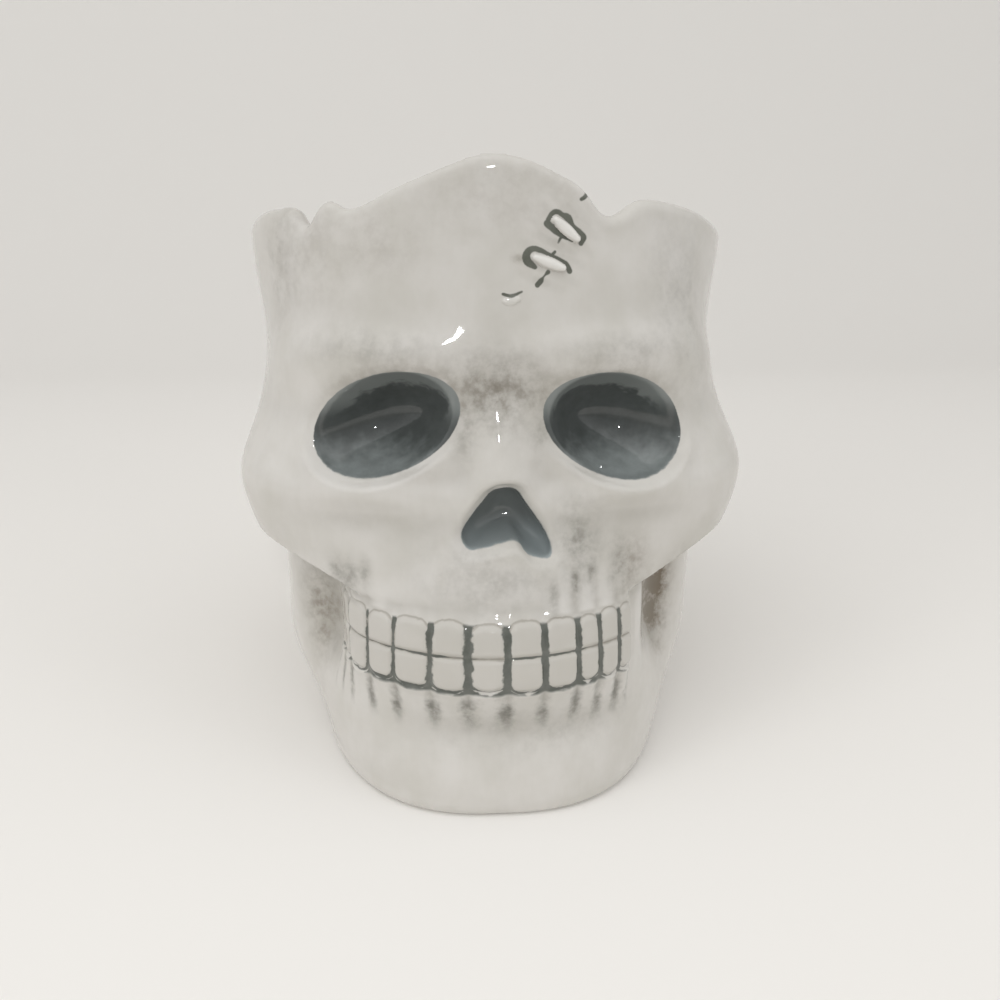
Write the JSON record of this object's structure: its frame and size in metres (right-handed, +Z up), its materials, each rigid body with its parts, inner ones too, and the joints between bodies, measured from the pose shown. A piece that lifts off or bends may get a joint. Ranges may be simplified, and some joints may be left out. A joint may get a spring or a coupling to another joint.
{
  "type": "skull candle holder",
  "caption": "Hollow glazed ceramic skull with a recessed nose, eye sockets, closed rows of teeth and a stitched scar, open at a wavy rim to hold a candle.",
  "frame": {"origin": "middle of the flat underside, at the middle of the whole box", "axes": "+Z up, the face looks along -Y, +X towards the skull's left side, which is on the right when the face is looked at"},
  "size_m": [0.1186, 0.1356, 0.145],
  "materials": {
    "glazed_earthenware": "glossy warm-white glaze, with thin grey-brown washes in the hollows and dark slate-grey glaze in the sockets, nose and tooth grooves"
  },
  "bodies": {
    "root": {"skull_shell": "glazed_earthenware"}
  },
  "joints": []
}
